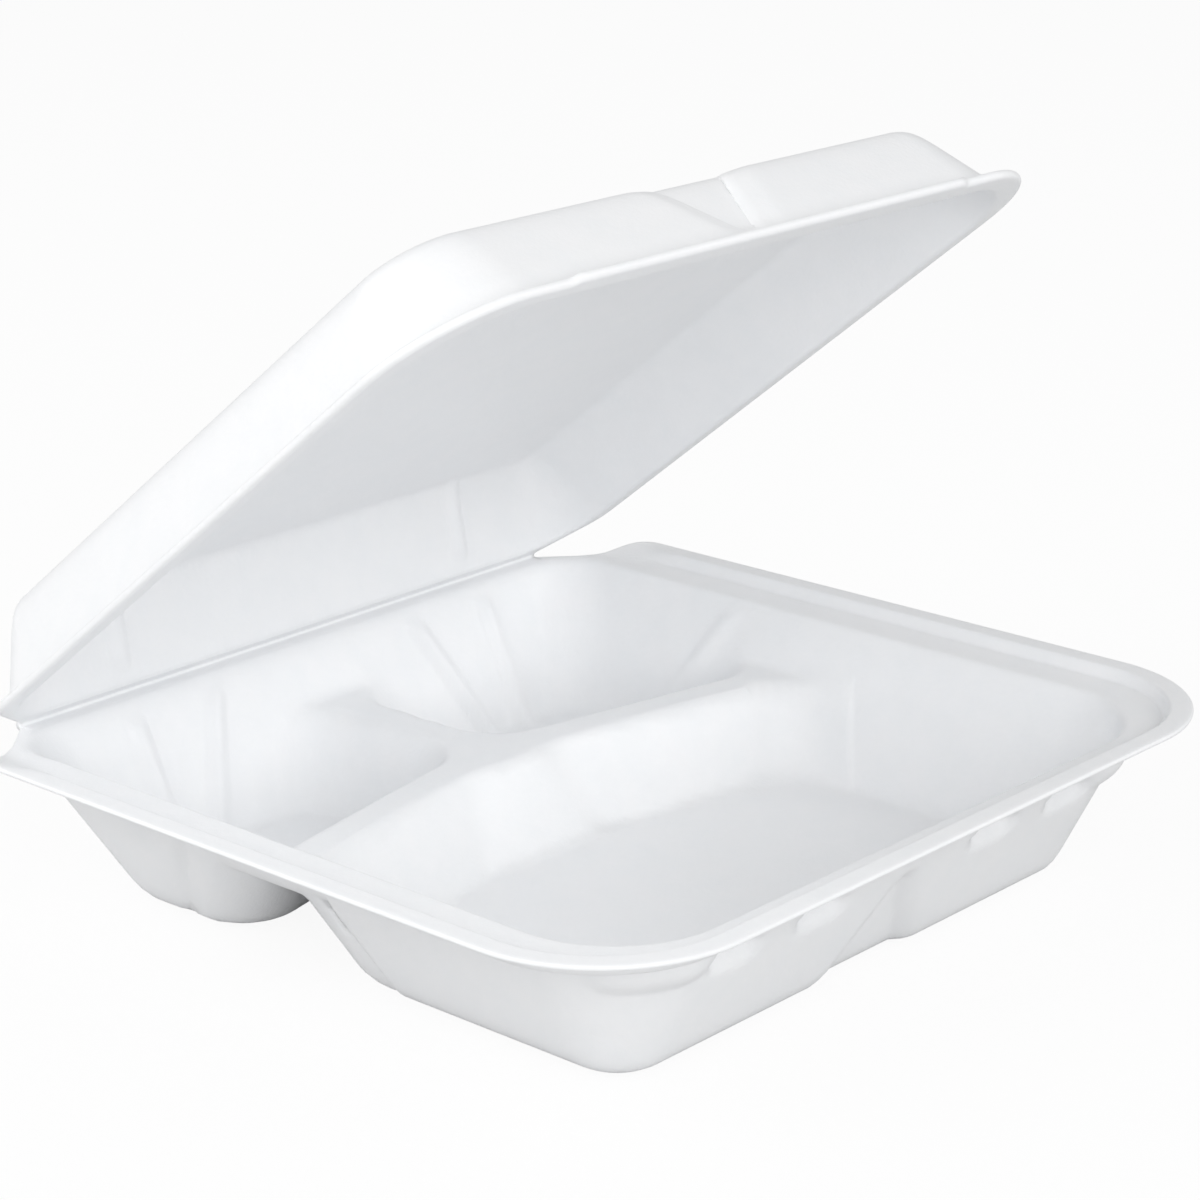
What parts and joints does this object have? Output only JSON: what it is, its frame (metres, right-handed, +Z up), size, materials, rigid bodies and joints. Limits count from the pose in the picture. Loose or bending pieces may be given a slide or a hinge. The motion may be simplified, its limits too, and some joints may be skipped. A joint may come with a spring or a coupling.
{
  "type": "foam clamshell container",
  "caption": "White foam takeaway container: a divided tapered tray with a raised lip, and a shallow lid on a full-width hinge that closes down inside the lip.",
  "frame": {"origin": "on the table, under the middle of the tray: half its width and half its depth", "axes": "+X along the hinge, to the right seen from the front; +Y from the front lip to the hinge; +Z up"},
  "size_m": [0.203, 0.1922, 0.1533],
  "materials": {
    "foam": "matte white moulded foam sheet with a soft, faintly mottled skin"
  },
  "bodies": {
    "tray": {"base_tray": "foam"},
    "lid": {"hinged_lid": "foam"}
  },
  "joints": [
    {"name": "lid_hinge", "type": "hinge", "parent": "tray", "child": "lid", "pos_m": [0, 0.09425, 0.03355], "axis": [-1, 0, 0], "range_deg": [-38.2, 141.8]}
  ]
}
